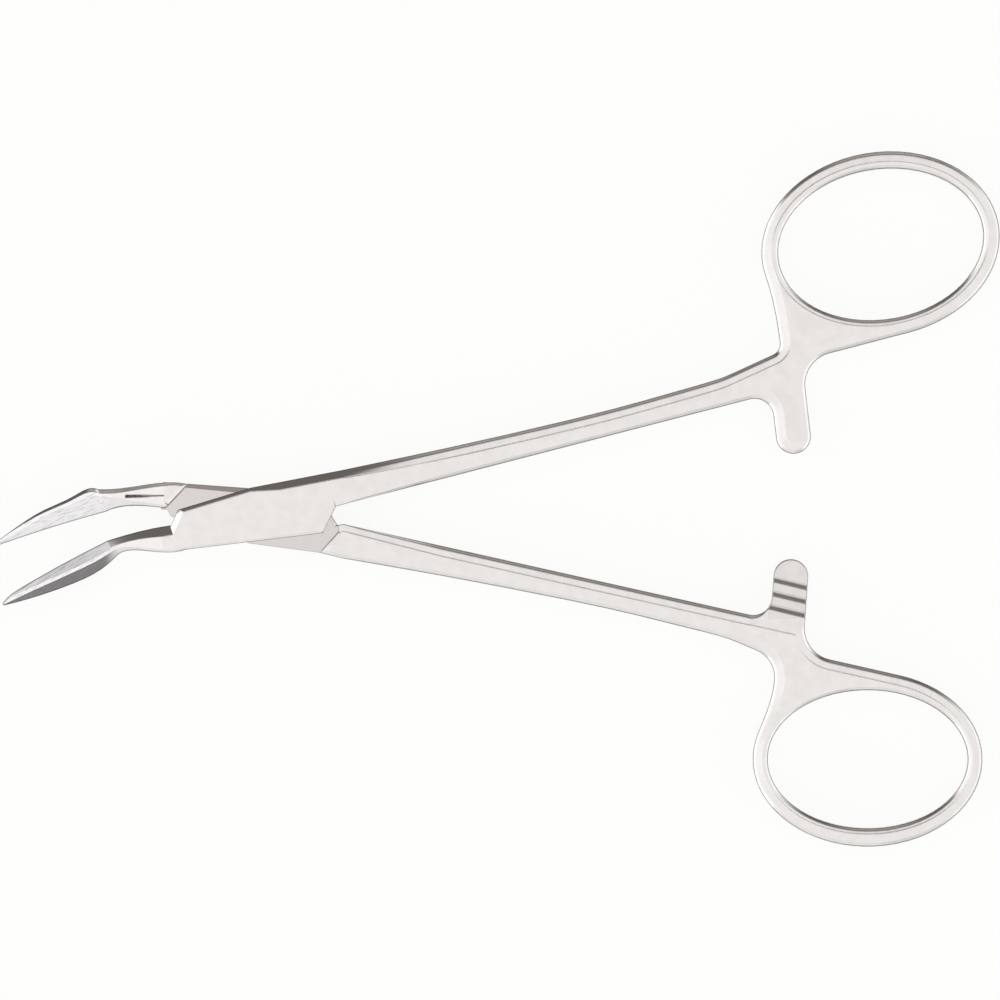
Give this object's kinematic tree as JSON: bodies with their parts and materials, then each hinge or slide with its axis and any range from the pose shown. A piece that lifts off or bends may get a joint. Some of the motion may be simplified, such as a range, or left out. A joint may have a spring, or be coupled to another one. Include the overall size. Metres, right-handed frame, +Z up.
{
  "type": "splinter forceps",
  "caption": "Ring-handled splinter forceps with a box lock, a ratchet and angled, sharply pointed leaf-shaped jaws.",
  "frame": {"origin": "on the pivot's axis, in the plane of the box lock's underside", "axes": "+X from the jaws to the finger rings, along the middle line between the halves; +Y towards the ring of the female half; +Z up, out of the box lock's front face"},
  "size_m": [0.1392, 0.0951, 0.005],
  "materials": {
    "forged_steel": "satin polished",
    "rivet_steel": "ground flush, satin polished"
  },
  "bodies": {
    "female": {"female_half": "forged_steel", "pivot_pin": "rivet_steel"},
    "male": {"male_half": "forged_steel"}
  },
  "joints": [
    {"name": "box_lock_pivot", "type": "hinge", "parent": "female", "child": "male", "pos_m": [0, 0, 0.0025], "axis": [0, 0, 1], "range_deg": [-28.6, 11.3]}
  ]
}
